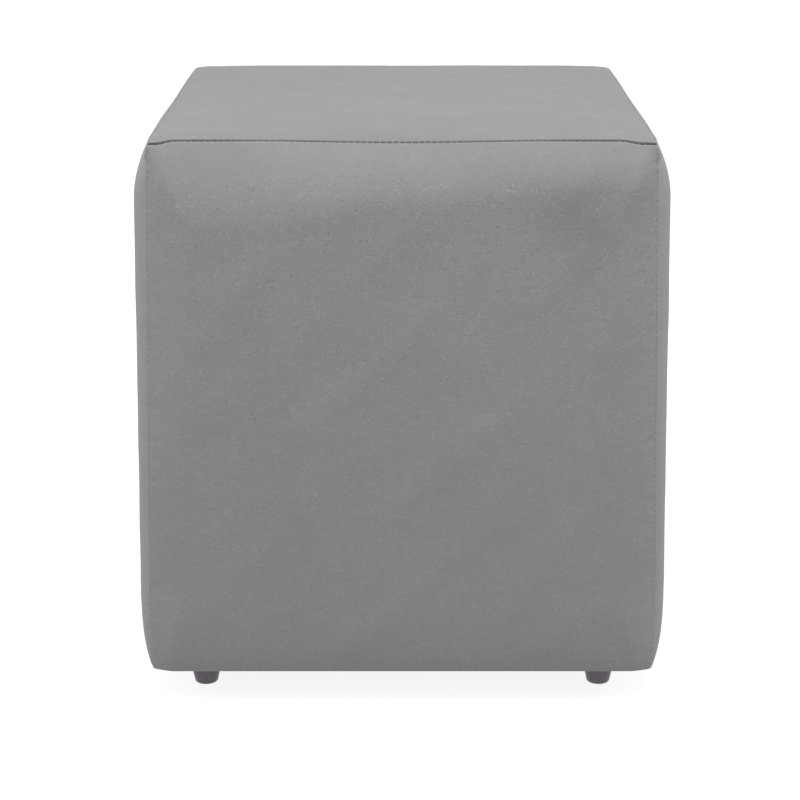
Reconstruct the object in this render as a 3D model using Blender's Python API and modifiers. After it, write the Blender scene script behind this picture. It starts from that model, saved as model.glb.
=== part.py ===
"""Cube pouf stool: five padded cloth panels sewn edge to edge, an underside cloth and four feet.

Metres, +Z up. The origin is on the floor under the middle of the stool, and its front faces -Y.
Each panel is the cloth with the padding that it is drawn over, cut off where it meets its
neighbours: the side panels meet on the diagonals, and the top panel on a sloping joint.
"""

import math
from collections import namedtuple

import bmesh
import bpy

# Overall sizes
FOOT_HEIGHT = 0.0245
TOP_SEAM_HEIGHT = 0.4334  # floor to the seam around the top panel
GAP = 0.0003  # left between pieces that touch

# Side panels. A reach is measured from the middle axis of the stool outwards.
SEAM_REACH_TOP = 0.1820  # to the upright seams, at the top
SEAM_REACH_BOTTOM = 0.1917  # and at the bottom
FULLNESS_TOP = 0.0135  # how far a panel swells out past its side seams, near the top
FULLNESS_BOTTOM = 0.0105  # and near the bottom
FULLNESS_MIDDLE = 0.0030  # how much further it swells in its middle
MIDDLE_START = 0.020  # distances from its side seams between which that sets in
MIDDLE_END = 0.110
TOP_ROLL = 0.0461  # height over which a panel swells out below the top seam
TOP_ROLL_POWER = 1.2
ROLL_UNEVENNESS = 0.24  # share by which that height varies along the seam
ROLL_WAVES = 0.39  # waves of it from side to side
SIDE_ROLL = 0.0353  # width over which a panel swells out beside an upright seam
SIDE_ROLL_POWER = 1.7
BOTTOM_ROLL = 0.0645  # height over which it is drawn in to the underside
BOTTOM_DRAW = 0.0086
SEAM_BOTTOM_ROLL = 0.045  # the same for the upright seams
SEAM_BOTTOM_DRAW = 0.0024

# The top seam is sunk into the padding, a little more in the middle of a side and at the corners.
SEAM_SINK = 0.0012
# A dip at a corner: its depth, and the distances from the corner between which it runs out.
SHORT_DIP = (0.0034, 0.003, 0.013)
LONG_DIP = (0.0034, 0.010, 0.028)
BACK_DIP = (0.0008, 0.003, 0.013)
SAG_SPAN = 0.62  # share of the side over which its middle sags
SEAM_PULL_FADE = 0.015  # how fast the pull of the seam dies away down the panel

# Thickness of the panels
TOP_BACK_REACH = 0.175  # of the top panel's back, where the backs of the side panels begin
TOP_PANEL_DEPTH = 0.040
PANEL_BACK_REACH = 0.160
HEM_REACH = 0.148
HEM_THICKNESS = 0.003

# Top panel
TOP_CROWN = 0.0055
TOP_CROWN_ROLL = 0.070
TOP_PULL_FADE = 0.006

# Underside cloth and feet
UNDERSIDE_CLOTH_WIDTH = 0.336
UNDERSIDE_CLOTH_THICKNESS = 0.0015
FOOT_CENTRE = 0.1533  # from the middle, along X and along Y
FOOT_TOP_RADIUS = 0.0138
FOOT_BOTTOM_RADIUS = 0.0086
FOOT_EDGE_RADIUS = 0.0014
FOOT_SIDES = 32
FOOT_EDGE_STEPS = 4

# Places of the rows and columns of faces, as distances from a seam
STEPS_FROM_SEAM = (0, 0.0015, 0.004, 0.008, 0.013, 0.019, 0.026, 0.034, 0.050, 0.075, 0.105, 0.140)
STEPS_BELOW_TOP_SEAM = (0, 0.0015, 0.004, 0.008, 0.014, 0.021, 0.029, 0.038, 0.049)
PLAIN_ROWS = 5  # on the straight stretch between the two rolls
BOTTOM_ROLL_ROWS = 9

HEM_HEIGHT = FOOT_HEIGHT + UNDERSIDE_CLOTH_THICKNESS + 2 * GAP  # floor to the hems
MITRE_SLOPE = (SEAM_REACH_TOP - TOP_BACK_REACH) / TOP_PANEL_DEPTH  # inwards per unit down
JOINT_STEP = GAP / 2 / math.hypot(1, MITRE_SLOPE)  # half a gap, square to the sloping joint
DIAGONAL_GAP = GAP / 2 * math.sqrt(2)

COLLECTION = "cube_pouf_stool"
Side = namedtuple("Side", "name turn sag left_dip right_dip phase")
# name, turn about Z from the front in degrees, sag of its top seam in the middle and its dips
# at the left and right corners, phase of its uneven roll
SIDES = (
    Side("front_panel", 0, 0.0015, SHORT_DIP, LONG_DIP, 0.0),
    Side("right_panel", 90, 0.0010, SHORT_DIP, BACK_DIP, 2.1),
    Side("back_panel", 180, 0.0004, BACK_DIP, BACK_DIP, 3.9),
    Side("left_panel", 270, 0.0010, BACK_DIP, SHORT_DIP, 1.1),
)


def clear_scene():
    for obj in list(bpy.data.objects):
        bpy.data.objects.remove(obj, do_unlink=True)


def make_material(name, colour, roughness):
    material = bpy.data.materials.new(name)
    material.use_nodes = True
    shader = material.node_tree.nodes["Principled BSDF"]
    shader.inputs["Base Color"].default_value = (*colour, 1)
    shader.inputs["Roughness"].default_value = roughness
    shader.inputs["Metallic"].default_value = 0
    return material


def clamp01(value):
    return min(max(value, 0.0), 1.0)


def swell(distance, roll, power):
    """0 at a seam, rising to 1 at a distance of one roll: how padding rounds out from stitching."""
    return (1 - (1 - clamp01(distance / roll)) ** power) ** (1 / power)


def round_over(share, power):
    """0 to 1 along a curve that starts on a slope and bends, late if power is high, to level."""
    share = clamp01(share)
    return ((power + 1) * share - share ** (power + 1)) / power


def tuck(share):
    """0 to 1 along a quarter of an ellipse that starts straight down."""
    return 1 - math.sqrt(1 - clamp01(share) ** 2)


def smooth_step(value, start, end):
    share = clamp01((value - start) / (end - start))
    return share * share * (3 - 2 * share)


def seam_sink(fraction, side):
    """How deep the top seam is sunk at a fraction, -1 to 1, of the way along a side."""
    from_corner = (1 - abs(fraction)) * SEAM_REACH_TOP
    depth, start, end = side.right_dip if fraction > 0 else side.left_dip
    dip = depth * (1 - smooth_step(from_corner, start, end))
    middle = 0.5 + 0.5 * math.cos(math.pi * clamp01(abs(fraction) / SAG_SPAN))
    return SEAM_SINK + dip + side.sag * middle


def top_roll_height(fraction, phase):
    """Height of the swelling below the top seam, which is uneven along the side."""
    wave = math.sin(math.tau * ROLL_WAVES * fraction + phase)
    return TOP_ROLL * (1 - ROLL_UNEVENNESS * wave)


def column_fractions():
    """Fractions of a side, -1 to 1, at which its columns stand: close together at the seams."""
    half = [1 - step / SEAM_REACH_TOP for step in STEPS_FROM_SEAM]
    return [-share for share in half] + [0.0] + half[::-1]


def row_heights():
    """Heights of a side panel's rows above the floor, from the top seam to the hem's fold."""
    upper = [TOP_SEAM_HEIGHT - step for step in STEPS_BELOW_TOP_SEAM]
    roll_start = HEM_HEIGHT + BOTTOM_ROLL
    plain_step = (upper[-1] - roll_start) / (PLAIN_ROWS + 1)
    plain = [upper[-1] - plain_step * row for row in range(1, PLAIN_ROWS + 1)]
    turns = [math.pi / 2 * row / BOTTOM_ROLL_ROWS for row in range(BOTTOM_ROLL_ROWS + 1)]
    return upper + plain + [roll_start - BOTTOM_ROLL * math.sin(turn) for turn in turns]


def side_surface(fraction, row_height, side):
    """(along the side, out from the middle, height) of a point of a side panel's outer face."""
    above_hem = row_height - HEM_HEIGHT
    below_seam = TOP_SEAM_HEIGHT - row_height
    up = clamp01(above_hem / (TOP_SEAM_HEIGHT - HEM_HEIGHT))
    pull = math.exp(-below_seam / SEAM_PULL_FADE)
    sink = seam_sink(fraction, side)
    corner_sink = seam_sink(math.copysign(1, fraction), side)
    seam_in = SEAM_BOTTOM_DRAW * tuck(1 - above_hem / SEAM_BOTTOM_ROLL)
    panel_in = BOTTOM_DRAW * tuck(1 - above_hem / BOTTOM_ROLL)
    plain = SEAM_REACH_BOTTOM + (SEAM_REACH_TOP - SEAM_REACH_BOTTOM) * up - seam_in
    half_width = plain - MITRE_SLOPE * corner_sink * pull

    from_seam = (1 - abs(fraction)) * half_width
    fullness = FULLNESS_BOTTOM + (FULLNESS_TOP - FULLNESS_BOTTOM) * up
    fullness += FULLNESS_MIDDLE * up * smooth_step(from_seam, MIDDLE_START, MIDDLE_END)
    fullness *= round_over(below_seam / top_roll_height(fraction, side.phase), TOP_ROLL_POWER)
    bulge = (fullness - panel_in + seam_in) * swell(from_seam, SIDE_ROLL, SIDE_ROLL_POWER)
    reach = plain - MITRE_SLOPE * sink * pull + bulge
    fade = 1 - smooth_step(below_seam, 0, TOP_ROLL)
    return fraction * (half_width - DIAGONAL_GAP), reach, row_height - sink * fade


def side_ring(fraction, side):
    """The closed outline of a side panel at one column: its face, its hem and its back."""
    ring = [side_surface(fraction, height, side) for height in row_heights()]
    along, out, height = ring[0]
    ring[0] = (along, out + JOINT_STEP, height - JOINT_STEP * MITRE_SLOPE)
    back_top = TOP_SEAM_HEIGHT - TOP_PANEL_DEPTH
    section = (
        (HEM_REACH, HEM_HEIGHT),
        (HEM_REACH, HEM_HEIGHT + HEM_THICKNESS),
        (PANEL_BACK_REACH, HEM_HEIGHT + HEM_THICKNESS),
        (TOP_BACK_REACH + JOINT_STEP, back_top - JOINT_STEP * MITRE_SLOPE),
    )
    return ring + [(fraction * (out - DIAGONAL_GAP), out, height) for out, height in section]


def top_surface(across, deep):
    """A point of the top panel's upper face, from the fractions -1 to 1 along X and Y."""
    front, right, back, left = SIDES
    sink_y = seam_sink(across, front) if deep < 0 else seam_sink(-across, back)
    sink_x = seam_sink(deep, right) if across > 0 else seam_sink(-deep, left)
    corner_sink = seam_sink(1, left if deep < 0 else right)
    from_x = (1 - abs(across)) * SEAM_REACH_TOP
    from_y = (1 - abs(deep)) * SEAM_REACH_TOP
    pull_x = math.exp(-from_x / TOP_PULL_FADE)
    pull_y = math.exp(-from_y / TOP_PULL_FADE)
    sink = sink_x * pull_x + sink_y * pull_y - corner_sink * pull_x * pull_y
    crown = TOP_CROWN * round_over(from_x / TOP_CROWN_ROLL, 1)
    crown *= round_over(from_y / TOP_CROWN_ROLL, 1)
    lift = JOINT_STEP * MITRE_SLOPE * max(abs(across), abs(deep))
    return (
        across * (SEAM_REACH_TOP - MITRE_SLOPE * sink_x - JOINT_STEP),
        deep * (SEAM_REACH_TOP - MITRE_SLOPE * sink_y - JOINT_STEP),
        TOP_SEAM_HEIGHT - sink + crown + lift,
    )


def top_ring(across):
    """The closed outline of the top panel at one column: its upper face and its back."""
    upper = [top_surface(across, deep) for deep in column_fractions()]
    back = TOP_BACK_REACH - JOINT_STEP
    height = TOP_SEAM_HEIGHT - TOP_PANEL_DEPTH + JOINT_STEP * MITRE_SLOPE
    return upper + [(across * back, back, height), (across * back, -back, height)]


def add_object(name, mesh, material):
    mesh.materials.append(material)
    obj = bpy.data.objects.new(name, mesh)
    bpy.data.collections[COLLECTION].objects.link(obj)
    return obj


def loft(name, rings, material):
    """A solid through closed rings of equal length, capped at both ends."""
    shape = bmesh.new()
    loops = [[shape.verts.new(point) for point in ring] for ring in rings]
    for loop, following in zip(loops, loops[1:]):
        for index in range(len(loop)):
            after = (index + 1) % len(loop)
            shape.faces.new((loop[index], loop[after], following[after], following[index]))
    shape.faces.new(loops[0])
    shape.faces.new(loops[-1])
    bmesh.ops.recalc_face_normals(shape, faces=shape.faces)
    mesh = bpy.data.meshes.new(name)
    shape.to_mesh(mesh)
    shape.free()
    mesh.shade_smooth()
    mesh.set_sharp_from_angle(angle=math.radians(50))
    return add_object(name, mesh, material)


def make_side_panel(side, material):
    rings = []
    for fraction in column_fractions():
        rings.append([(x, -out, z) for x, out, z in side_ring(fraction, side)])
    panel = loft(side.name, rings, material)
    panel.rotation_euler.z = math.radians(side.turn)


def make_top_panel(material):
    loft("top_panel", [top_ring(across) for across in column_fractions()], material)


def make_underside_cloth(material):
    shape = bmesh.new()
    bmesh.ops.create_cube(shape, size=1)
    size = (UNDERSIDE_CLOTH_WIDTH, UNDERSIDE_CLOTH_WIDTH, UNDERSIDE_CLOTH_THICKNESS)
    bmesh.ops.scale(shape, vec=size, verts=shape.verts)
    mesh = bpy.data.meshes.new("underside_cloth")
    shape.to_mesh(mesh)
    shape.free()
    cloth = add_object("underside_cloth", mesh, material)
    cloth.location.z = FOOT_HEIGHT + GAP + UNDERSIDE_CLOTH_THICKNESS / 2


def foot_profile():
    """Half section of a foot as (radius, height), from its top down to its rounded lower edge."""
    edge = FOOT_EDGE_RADIUS
    profile = [(0, FOOT_HEIGHT), (FOOT_TOP_RADIUS, FOOT_HEIGHT)]
    for step in range(FOOT_EDGE_STEPS + 1):
        turn = math.pi / 2 * step / FOOT_EDGE_STEPS
        radius = FOOT_BOTTOM_RADIUS - edge + edge * math.cos(turn)
        profile.append((radius, edge - edge * math.sin(turn)))
    return profile + [(0, 0)]


def make_foot(name, x, y, material):
    mesh = bpy.data.meshes.new(name)
    points = [(radius, 0, height) for radius, height in foot_profile()]
    mesh.from_pydata(points, [(index, index + 1) for index in range(len(points) - 1)], [])
    foot = add_object(name, mesh, material)
    foot.location = (x, y, 0)
    turning = foot.modifiers.new("turning", "SCREW")
    turning.angle = math.tau
    turning.steps = FOOT_SIDES
    turning.render_steps = FOOT_SIDES
    turning.use_merge_vertices = True
    turning.merge_threshold = 0.0001
    turning.use_smooth_shade = True


def make_feet(material):
    for depth_name, depth in (("front", -1), ("back", 1)):
        for side_name, side in (("left", -1), ("right", 1)):
            name = f"foot_{depth_name}_{side_name}"
            make_foot(name, side * FOOT_CENTRE, depth * FOOT_CENTRE, material)


def main():
    clear_scene()
    bpy.context.scene.collection.children.link(bpy.data.collections.new(COLLECTION))
    suede = make_material("grey_suede", (0.22, 0.22, 0.22), 0.92)
    lining = make_material("black_nonwoven", (0.02, 0.02, 0.022), 0.95)
    plastic = make_material("dark_plastic", (0.035, 0.032, 0.035), 0.22)
    for side in SIDES:
        make_side_panel(side, suede)
    make_top_panel(suede)
    make_underside_cloth(lining)
    make_feet(plastic)


main()
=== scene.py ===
"""Looks of the cube pouf stool: suede cloth panels with sewn seams, glossy feet, studio light.

Metres, +Z up, the front faces -Y. The panels repeat the solids' form on a finer mesh, and add
what the thread and the padding do to it: sunk seams, stitches, puckers and soft unevenness.
"""

import math
from collections import namedtuple

import bmesh
import bpy
import numpy as np
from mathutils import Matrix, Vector


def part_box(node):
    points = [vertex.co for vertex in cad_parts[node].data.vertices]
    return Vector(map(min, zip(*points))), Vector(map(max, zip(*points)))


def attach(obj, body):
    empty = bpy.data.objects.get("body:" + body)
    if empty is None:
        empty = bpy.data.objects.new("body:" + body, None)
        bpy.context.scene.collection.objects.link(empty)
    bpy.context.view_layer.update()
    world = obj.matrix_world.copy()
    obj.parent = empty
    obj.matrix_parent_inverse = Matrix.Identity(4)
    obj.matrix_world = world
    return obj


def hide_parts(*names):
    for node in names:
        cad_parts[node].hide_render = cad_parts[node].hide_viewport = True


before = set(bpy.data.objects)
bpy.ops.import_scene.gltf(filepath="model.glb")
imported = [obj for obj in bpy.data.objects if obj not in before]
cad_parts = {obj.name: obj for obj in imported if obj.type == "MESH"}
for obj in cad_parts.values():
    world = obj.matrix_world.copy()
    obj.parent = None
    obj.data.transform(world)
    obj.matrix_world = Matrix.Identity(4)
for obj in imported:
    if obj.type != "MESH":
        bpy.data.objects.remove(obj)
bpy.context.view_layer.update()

# The form of the covers, close to the solids' own. A reach is a distance from the stool's middle.
# What has BESIDE in its name is for the left and right, and its twin is for the front and back.
TOP_SEAM_HEIGHT = 0.4334
SEAM_REACH_TOP = 0.1817  # to the upright seams, at the top
SEAM_REACH_BOTTOM = 0.1917  # and at the bottom
FULLNESS_TOP = 0.0138  # how far a panel swells out past its side seams, near the top
FULLNESS_BOTTOM = 0.0107  # and near the bottom
FULLNESS_MIDDLE, FULLNESS_MIDDLE_BESIDE = 0.0052, 0.0034  # and how much further in its middle
MIDDLE_START, MIDDLE_END = 0.020, 0.110  # distances from its side seams where that sets in
TOP_ROLL, TOP_ROLL_BESIDE = 0.0500, 0.0508  # height over which it swells out below the top seam
TOP_ROLL_POWER = 1.2
ROLL_UNEVENNESS = 0.24  # share by which that height varies along the seam
ROLL_WAVES = 0.39  # waves of it in half a side
# A shorter wave of it on the front and back: its share, its waves in half a side, and its place
ROLL_RIPPLE, ROLL_RIPPLE_WAVES, ROLL_RIPPLE_PLACE = 0.09, 1.05, -0.64
SIDE_ROLL_POWER = 1.28
# The side rolls are narrower at the top seam and at the hem: shares of their full width there, and
# the distances where they reach their full width
END_ROLL_SHARES = {
    "front": (0.35, 0.55),
    "back": (0.35, 0.55),
    "left": (1.0, 0.80),
    "right": (1.0, 0.80),
}
END_ROLL_TOP, END_ROLL_BOTTOM = 0.070, 0.075
BOTTOM_ROLL, BOTTOM_DRAW = 0.0645, 0.0081  # height over which a panel is drawn in, and how far
SEAM_BOTTOM_ROLL, SEAM_BOTTOM_DRAW = 0.045, 0.0024  # the same for the upright seams
SEAM_SINK = 0.0005  # how deep the top seam is sunk all along
# A dip of the top seam at a corner: its depth, and the distances from the corner between which it
# runs out
SHORT_DIP = (0.0023, 0.003, 0.013)
MIDDLE_DIP = (0.0023, 0.007, 0.019)
LONG_DIP = (0.0023, 0.010, 0.028)
BACK_DIP = (0.0008, 0.003, 0.013)
SAG_SPAN = 0.62  # share of a side over which its middle sags
SEAM_PULL_FADE = 0.015  # how fast the pull of the top seam dies away down a side panel
TOP_PULL_FADE = 0.006  # and across the top panel
TOP_CROWN, TOP_CROWN_ROLL = 0.0055, 0.070  # height of the top's crown, how far in it is reached
TOP_BACK_REACH = 0.175  # of the top panel's back, where the backs of the side panels begin
TOP_PANEL_DEPTH = 0.040
PANEL_BACK_REACH = 0.160
HEM_REACH, HEM_THICKNESS = 0.148, 0.003
# The front corners of the top seam reach a little further out than its left and right sides,
# which are drawn in a little behind them, about a place, for a reach.
EAR, EAR_FADE, EAR_START = 0.0010, 0.020, 0.02
EAR_DRAW, EAR_DRAW_PLACE, EAR_DRAW_REACH = 0.0009, 0.100, 0.050

HEM_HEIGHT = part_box("front_panel")[0].z
MITRE_SLOPE = (SEAM_REACH_TOP - TOP_BACK_REACH) / TOP_PANEL_DEPTH
FACE_LENGTH = TOP_SEAM_HEIGHT - HEM_HEIGHT

HEM_LENGTH = 0.042
HEM_ROWS = 10
BOTTOM_ROLL_ROWS = 36
# Steps either way that give a form's normals: as shares of half a side, and in metres down a side
SHARE_STEP, DOWN_STEP = 0.004, 0.0008

Side = namedtuple("Side", "name turn sag left_dip right_dip phase skew roll furrow seed")
# name, turn about Z in degrees, sag of its top seam in the middle and its dips at the left and
# right corners, phase of its uneven top roll, how much fuller its right half is than its left,
# width of its rolls beside the upright seams, share of the full depth of its top seam's furrow,
# seed of its folds
SIDES = (
    Side("front", 0, 0.0015, MIDDLE_DIP, LONG_DIP, 0.0, -0.0036, 0.028, 1.0, 11),
    Side("right", 90, 0.0010, SHORT_DIP, BACK_DIP, 2.1, 0.0, 0.034, 0.6, 12),
    Side("back", 180, 0.0004, BACK_DIP, BACK_DIP, 3.9, 0.0, 0.034, 0.6, 13),
    Side("left", 270, 0.0010, BACK_DIP, SHORT_DIP, 1.1, 0.0, 0.034, 0.6, 14),
)
TOP_SEED = 15
FRONT_ENDS = {"left": 1, "right": -1}  # the end of these sides, as a fraction, that is at the front

# Cloth simulation of a panel on its padding, which holds it unevenly and presses it outwards
SETTLE_CELL = 0.0055
SETTLE_FRAMES = 16
SETTLE_QUALITY = 5
SETTLE_MASS = 0.3
SETTLE_STIFFNESS, SETTLE_SHEAR_STIFFNESS, SETTLE_BENDING_STIFFNESS = 15, 7.5, 5
SETTLE_PRESSURE = 10
SETTLE_SLACK = 0.001
SETTLE_HOLD, SETTLE_HOLD_LEAST, SETTLE_HOLD_MOST = 0.35, 0.1, 0.9
SETTLE_HOLD_UNEVENNESS = 0.35
SETTLE_HOLD_WAVES = (0.05, 0.06, 0.08, 0.10, 0.13, 0.17)
SETTLE_LIMIT = 0.0012  # how far it can move a panel
SETTLE_FADE, SETTLE_HEM_FADE = 0.012, 0.02  # distances from the seams and hem where it sets in

# Sewing
STITCH_PITCH = 0.0046
CELL = STITCH_PITCH / 2  # of a panel's mesh, away from its seams
FINE_STEPS = 2  # of the mesh in one cell, beside a seam
FINE_CELL = CELL / FINE_STEPS
BAND = (0.0, 0.0003, 0.0007, 0.0012, 0.0019, 0.0027)  # distances from a seam of its fine lines
# Depth and width of the top seam's furrow, in the middle of a side and towards its corners, and
# the distances from the middle between which they change
TOP_FURROW, TOP_FURROW_ENDS, TOP_FURROW_CHANGE = 0.0016, 0.0022, (0.09, 0.14)
TOP_FURROW_WIDTH, TOP_FURROW_WIDTH_ENDS, TOP_FURROW_WIDTH_CHANGE = 0.0006, 0.0008, (0.09, 0.165)
# How much deeper the front's is right at its corners, the share of depth that the left and right
# ones lose at the front corners, and the distances from the middle where these set in
TOP_FURROW_CORNER, TOP_FURROW_CORNER_CHANGE = 0.0006, (0.160, 0.176)
TOP_FURROW_RUN_OUT, TOP_FURROW_RUN_OUT_CHANGE = 0.35, (0.155, 0.178)
TOP_FURROW_LEAN = (0.75, 0.66)  # its direction, inwards and down
TOP_PINCH = 0.06  # how much deeper it is at a stitch
SIDE_FURROW, SIDE_FURROW_WIDTH, SIDE_PINCH = 0.00030, 0.0006, 0.8
SIDE_FURROW_END = 0.004  # distance from the hem over which it runs out
# Puckers: their height, the lengths of their waves and of the waves of their strength, distances
# from the seam over which they start and die away, their lean and how far apart it changes
PUCKER_HEIGHT = 0.00025
PUCKER_WAVES, PUCKER_STRENGTH_WAVES = (0.0083, 0.0117, 0.0171, 0.026), (0.071, 0.113)
PUCKER_START, PUCKER_FADE = 0.0022, 0.013
PUCKER_LEAN, PUCKER_LEAN_WAVES = 0.35, (0.19,)
TOP_PUCKER_SHARE = 0.6
# Threads: their radius, and the distance from the top seam to either end of one, in the middle of a
# side and towards its corners, where the threads lie deeper
TOP_THREAD_RADIUS, TOP_THREAD_RADIUS_ENDS = 0.00032, 0.00022
TOP_THREAD_REACH, TOP_THREAD_REACH_ENDS = 0.0010, 0.0005
TOP_THREAD_CHANGE = (0.02, 0.06)  # distances from the middle between which they change
TOP_THREAD_OUTWARD = (0, -0.6, 0.8)
SIDE_THREAD_RADIUS, SIDE_THREAD_LENGTH = 0.00020, 0.0012
THREAD_LIFT = 0.0002  # how far they stand off or bow out
THREAD_POINTS, THREAD_SIDES = 5, 6
# Creases at each front upright seam: distance below the top seam, depth
CORNER_CREASES = ((0.0075, 0.0012), (0.0150, 0.0010))
CREASE_REACH, CREASE_WIDTH = 0.0020, 0.0010
# A tuck that runs back from it, on the left and right sides: distances below the top seam where it
# starts, is deepest and ends, its depth, how far it reaches back, and where it is at full depth
CORNER_TUCK = (0.0084, 0.0136, 0.0160, 0.0022, 0.028, 0.002)
# The pit where three seams meet: its depth, its reach, and its direction, inwards from the side and
# front, and down
CORNER_PIT, CORNER_PIT_REACH = 0.0020, 0.0018
CORNER_PIT_LEAN = (0.15, 0.95, 0.25)

# The underside cloth: steps of its mesh, height and lengths of its waves, distances from its edge
# where they set in, thickness of its turned-in edge and the distances where that ends
UNDERSIDE_STEPS = 112
UNDERSIDE_WAVE, UNDERSIDE_WAVES, UNDERSIDE_WAVE_START = 0.00022, (0.05, 0.08, 0.12), (0.006, 0.05)
UNDERSIDE_FOLD, UNDERSIDE_FOLD_END = 0.0003, (0.011, 0.013)
UNDERSIDE_SEED = 21

FOOT_BOTTOM_RADIUS = 0.0092
FOOT_EDGE_RADIUS = 0.0018
FOOT_TOP_BEVEL = 0.0004
FOOT_EDGE_STEPS = 10
FOOT_SIDES = 64
SHARP_ANGLE = 60  # degrees above which an edge isn't smoothed

# Colours, as linear light
SUEDE_COLOUR = (0.170, 0.170, 0.170)
# Painted shade of each panel, which sets how bright its face looks under the lights
SUEDE_PAINTED_SHADES = {"top": 0.838, "front": 0.95, "right": 0.975, "back": 0.965, "left": 0.975}
# Painted shade, darker towards the bottom of a side:
LOW_PAINTED_SHADE = (0.08, 0.40, 0.945)  # heights between which it gets darker downwards, and how dark
# Patches of painted shade, on the front below its top roll and on the left and right in the tucks
# by the front upright seams: place along and height, reaches, shade
PAINTED_SHADE_PATCHES = {
    "front": ((0.126, 0.379, 0.040, 0.028, 0.89), (0.126, 0.362, 0.060, 0.055, 0.95)),
    "left": ((0.1690, 0.4198, 0.022, 0.0058, 0.74),),
    "right": ((-0.1690, 0.4198, 0.022, 0.0058, 0.76),),
}
# A layer of noise: how fine it is along x, y and z, its detail and seed, and the two values that
# its middle range, or else the range given last, is stretched to. First those of the nap's shade
CLOUDS = ((22, 22, 22), 3, 0.0, 0.97, 1.03)
BLOTCHES = ((140, 140, 190), 2, 3.1, 0.975, 1.025)
STREAKS = ((330, 330, 1100), 2, 7.7, 0.95, 1.05)
GRAIN = ((2100, 2100, 2100), 2, 12.3, 0.94, 1.06)
# Short curved marks of crushed nap: the noise whose middle value they follow and how far from it
# they reach, and the layers of the patches they lie in and of their tints
MARK_LINES, MARK_WIDTH = ((430, 430, 560), 1, 17.9), 0.10
MARK_PATCHES = ((130, 130, 160), 1, 21.1, 0, 1, 0.40, 0.66)
MARK_TINTS = ((1000, 1000, 1400), 0, 25.7, -1, 1.2, 0.38, 0.62)
# Their strength low and high on a side, and how much of it is left near the top, each with the two
# heights between which it changes
MARK_STRENGTH = (0.165, 0.285, 0.15, 0.40)
MARK_RUN_OUT = (1, 0.1, 0.402, 0.415)
# A bump is its strength and its distance in metres. Those of streaks and fibres are their shares
SUEDE_BUMP, SUEDE_STREAK_BUMP = (0.35, 0.00018), 0.6
SUEDE_ROUGHNESS, SUEDE_SPECULAR = (0.86, 0.98), 0.1
SHEEN, SHEEN_ROUGHNESS = 0.08, 0.45
TOP_THREAD_COLOUR = (0.24, 0.24, 0.24)
SIDE_THREAD_COLOUR = (0.155, 0.155, 0.155)
THREAD_TWIST, THREAD_ROUGHNESS = ((2600, 2600, 2600), 1, 3.0, 0.7, 1.2), 0.6
LINING_COLOUR = (0.022, 0.022, 0.024)
LINING_BONDS, LINING_UNEVENNESS = 620.0, 0.15  # bonded points in a metre
LINING_FIBRES = ((900, 900, 900), 4, 1.0, 0.6, 1.5)
LINING_BUMP, LINING_FIBRE_BUMP, LINING_ROUGHNESS = (0.5, 0.0002), 0.5, 0.85
PLASTIC_COLOUR = (0.075, 0.068, 0.078)
PLASTIC_SCUFFS, PLASTIC_ROUGHNESS = ((900, 900, 300), 3, 5.0, 0.85, 1.15), (0.16, 0.30)
PLASTIC_RIPPLE, PLASTIC_BUMP = ((160, 160, 160), 1, 2.0), (0.15, 0.0003)

# Studio
FLOOR_SIZE = 14
FLOOR_CLOUDS = ((3, 3, 3), 2, 0.0, 0.12, 0.14)
FLOOR_ROUGHNESS = 0.9
FLOOR_GLOW = 0.88
WORLD_STRENGTH = 1.0
# name, place, diameter, power in watts
LIGHTS = (
    ("light_above", (0.0, -0.9, 2.7), 1.6, 71),
    ("light_left", (-2.2, -0.5, 1.5), 1.2, 18),
    ("light_right", (2.2, -0.5, 1.5), 1.2, 18),
)
CAMERA_LENS = 92.16
CAMERA_SHIFT = (-0.0028, -0.04)
CAMERA_DISTANCE = 1.623
CAMERA_HEIGHT = 0.694
CAMERA_PITCH = 16.62


def swell(distance, roll, power):
    """0 at a seam, rising to 1 at a distance of one roll."""
    return (1 - (1 - np.clip(distance / roll, 0, 1)) ** power) ** (1 / power)


def round_over(share, power):
    """0 to 1 along a curve that starts on a slope and bends, late if power is high, to level."""
    share = np.clip(share, 0, 1)
    return ((power + 1) * share - share ** (power + 1)) / power


def tuck(share):
    return 1 - np.sqrt(1 - np.clip(share, 0, 1) ** 2)


def smooth_step(value, start, end):
    share = np.clip((value - start) / (end - start), 0, 1)
    return share * share * (3 - 2 * share)


def seam_sink(fraction, side):
    """How deep the top seam is sunk at a fraction, -1 to 1, of the way along a side."""
    from_corner = (1 - np.abs(fraction)) * SEAM_REACH_TOP
    dips = [
        depth * (1 - smooth_step(from_corner, start, end))
        for depth, start, end in (side.left_dip, side.right_dip)
    ]
    middle = 0.5 + 0.5 * np.cos(np.pi * np.clip(np.abs(fraction) / SAG_SPAN, 0, 1))
    return SEAM_SINK + np.where(fraction > 0, dips[1], dips[0]) + side.sag * middle


def top_roll_height(fraction, side):
    wave = np.sin(2 * np.pi * ROLL_WAVES * fraction + side.phase)
    if side.name in FRONT_ENDS:
        return TOP_ROLL_BESIDE * (1 - ROLL_UNEVENNESS * wave)
    ripple = np.cos(2 * np.pi * ROLL_RIPPLE_WAVES * (fraction - ROLL_RIPPLE_PLACE) + side.phase)
    return TOP_ROLL * (1 - ROLL_UNEVENNESS * wave + ROLL_RIPPLE * ripple)


def wave_1d(place, lengths, seed):
    """A smooth uneven line, about -1 to 1."""
    phases = np.random.default_rng(seed).uniform(0, 2 * np.pi, len(lengths))
    waves = [np.cos(2 * np.pi * place / length + phase) for length, phase in zip(lengths, phases)]
    return sum(waves) / len(lengths) ** 0.5


def wave_2d(x, y, lengths, seed):
    """A smooth uneven surface, about -1 to 1."""
    draws = np.random.default_rng(seed)
    total = 0
    for length in lengths:
        turn, phase = draws.uniform(0, 2 * np.pi, 2)
        total = total + np.cos(
            2 * np.pi * (x * math.cos(turn) + y * math.sin(turn)) / length + phase
        )
    return total / len(lengths) ** 0.5


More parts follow.
